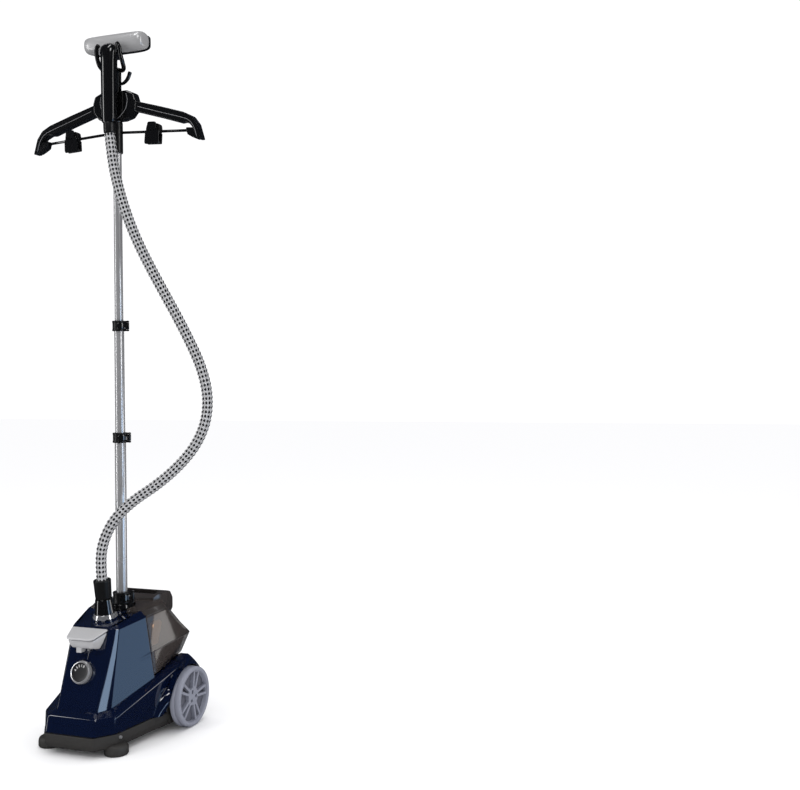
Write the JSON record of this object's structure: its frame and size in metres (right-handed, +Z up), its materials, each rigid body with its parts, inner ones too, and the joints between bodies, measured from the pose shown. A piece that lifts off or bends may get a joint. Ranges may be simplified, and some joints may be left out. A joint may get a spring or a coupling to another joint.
{
  "type": "garment steamer",
  "caption": "Upright garment steamer on wheels with a foot switch, steam dial, lift-off water tank, telescopic pole, hanger with clips, braided hose and steam head.",
  "frame": {"origin": "on the floor, at the middle of the base's width and depth", "axes": "+Z up along the pole, -Y towards the front with the foot switch, +X to the right of someone who faces the front, so the width is along X"},
  "size_m": [0.45, 0.33, 1.58],
  "materials": {
    "navy_casing": "glossy",
    "charcoal_casing": "matte",
    "black_gloss": "glossy",
    "black_matte": "matte",
    "rubber_black": "matte",
    "wheel_grey": "matte",
    "tank_smoke": "glossy",
    "pedal_silver": "satin",
    "knob_chrome": "polished",
    "dial_grey": "matte",
    "pole_metal": "brushed",
    "steel": "brushed",
    "head_silver": "satin",
    "hose_braid": "woven",
    "boiler_metal": "cast",
    "tube_clear": "matte"
  },
  "bodies": {
    "base": {"base_tray": "charcoal_casing", "front_feet": "rubber_black", "main_housing": "navy_casing", "rear_cover": "navy_casing", "cord_gland": "rubber_black", "housing_screws": "steel", "wheel_axle": "steel", "axle_clips": "steel", "pedal_housing": "pedal_silver", "pedal_pin": "steel", "power_switch": "black_matte", "selector_switch": "black_matte", "hose_port": "navy_casing", "hose_cuff": "black_matte", "boiler": "boiler_metal", "steam_pipe": "tube_clear", "feed_tube": "tube_clear", "tank_seat": "black_matte", "pole_socket": "black_gloss", "socket_clamp": "black_matte", "pole_lower": "pole_metal", "clamp_lower": "black_matte", "hose_lower": "hose_braid"},
    "wheel_left": {"wheel_left": "wheel_grey"},
    "wheel_right": {"wheel_right": "wheel_grey"},
    "knob": {"knob_ring": "knob_chrome", "knob_dial": "dial_grey"},
    "pedal": {"pedal_plate": "pedal_silver"},
    "hose_lock": {"hose_ring": "knob_chrome", "hose_collar": "black_gloss"},
    "socket_lever": {"socket_clamp_lever": "black_matte"},
    "lower_lever": {"clamp_lower_lever": "black_matte"},
    "upper_lever": {"clamp_upper_lever": "black_matte"},
    "tank": {"tank_upper": "tank_smoke", "tank_lower": "tank_smoke", "tank_handle": "black_matte", "tank_plug": "black_matte"},
    "cap": {"tank_cap": "black_matte"},
    "valve": {"tank_valve": "steel"},
    "pole_middle": {"pole_middle": "pole_metal", "clamp_upper": "black_matte", "hose_middle": "hose_braid"},
    "pole_upper": {"pole_upper": "pole_metal", "hanger_sleeve": "black_matte", "hanger": "black_gloss", "trouser_bar_left": "black_gloss", "trouser_bar_right": "black_gloss", "head_post": "black_gloss", "head_cradle": "black_gloss", "garment_hook": "black_gloss", "hose_upper": "hose_braid"},
    "clip_left": {"clip_left": "black_matte"},
    "clip_right": {"clip_right": "black_matte"},
    "jaw_left": {"clip_jaw_left": "black_matte"},
    "jaw_right": {"clip_jaw_right": "black_matte"},
    "steam_head": {"head_handle": "black_gloss", "head_cuff": "black_matte", "head_shell": "head_silver", "head_plate": "black_gloss"}
  },
  "joints": [
    {"name": "wheel_left_spin", "type": "hinge", "parent": "base", "child": "wheel_left", "pos_m": [-0.137, 0.096, 0.067], "axis": [1, 0, 0], "continuous": true},
    {"name": "wheel_right_spin", "type": "hinge", "parent": "base", "child": "wheel_right", "pos_m": [0.137, 0.096, 0.067], "axis": [1, 0, 0], "continuous": true},
    {"name": "knob_turn", "type": "hinge", "parent": "base", "child": "knob", "pos_m": [0, -0.11186, 0.1645], "axis": [0, 0.9475, -0.3197], "range_deg": [0, 240]},
    {"name": "pedal_press", "type": "hinge", "parent": "base", "child": "pedal", "pos_m": [0, -0.093, 0.24], "axis": [1, 0, 0], "range_deg": [0, 6], "stiffness_Nm_per_rad": 3, "springref_deg": -5.73},
    {"name": "hose_lock_twist", "type": "hinge", "parent": "base", "child": "hose_lock", "pos_m": [0, -0.0305, 0.2657], "axis": [0, -0.1219, 0.9925], "range_deg": [0, 60]},
    {"name": "socket_lever_turn", "type": "hinge", "parent": "base", "child": "socket_lever", "pos_m": [0.02007, 0.04705, 0.298], "axis": [0, 0, 1], "range_deg": [0, 100]},
    {"name": "lower_lever_turn", "type": "hinge", "parent": "base", "child": "lower_lever", "pos_m": [0.01973, 0.04018, 0.6615], "axis": [0, 0, 1], "range_deg": [0, 100]},
    {"name": "upper_lever_turn", "type": "hinge", "parent": "pole_middle", "child": "upper_lever", "pos_m": [0.01832, 0.03967, 0.916], "axis": [0, 0, 1], "range_deg": [0, 100]},
    {"name": "tank_lift", "type": "slide", "parent": "base", "child": "tank", "axis": [0, 0, 1], "range_m": [0, 0.2]},
    {"name": "cap_twist", "type": "hinge", "parent": "tank", "child": "cap", "pos_m": [0, 0.09, 0.14339], "axis": [0, 0, 1], "range_deg": [0, 90]},
    {"name": "valve_drop", "type": "slide", "parent": "cap", "child": "valve", "axis": [0, 0, 1], "range_m": [-0.0031, 0]},
    {"name": "pole_middle_slide", "type": "slide", "parent": "base", "child": "pole_middle", "axis": [0, 0, 1], "range_m": [-0.14, 0], "deforming": ["hose_lower"]},
    {"name": "pole_upper_slide", "type": "slide", "parent": "pole_middle", "child": "pole_upper", "axis": [0, 0, 1], "range_m": [-0.22, 0], "deforming": ["hose_middle"]},
    {"name": "clip_left_slide", "type": "slide", "parent": "pole_upper", "child": "clip_left", "axis": [0.9985, 0, 0.0555], "range_m": [-0.011, 0.03]},
    {"name": "clip_right_slide", "type": "slide", "parent": "pole_upper", "child": "clip_right", "axis": [0.9985, 0, -0.0555], "range_m": [-0.03, 0.03]},
    {"name": "jaw_left_open", "type": "hinge", "parent": "clip_left", "child": "jaw_left", "pos_m": [-0.12067, 0.024, 1.36198], "axis": [-0.9985, 0, -0.0555], "range_deg": [0, 25], "stiffness_Nm_per_rad": 0.3, "springref_deg": -5.73},
    {"name": "jaw_right_open", "type": "hinge", "parent": "clip_right", "child": "jaw_right", "pos_m": [0.09867, 0.024, 1.3632], "axis": [-0.9985, 0, 0.0555], "range_deg": [0, 25], "stiffness_Nm_per_rad": 0.3, "springref_deg": -5.73},
    {"name": "head_lift", "type": "slide", "parent": "pole_upper", "child": "steam_head", "axis": [0, 0, 1], "range_m": [0, 0.06], "deforming": ["hose_upper"]}
  ],
  "couplings": [
    {"joint": "valve_drop", "follows": "tank_lift", "ratio": -0.015}
  ]
}
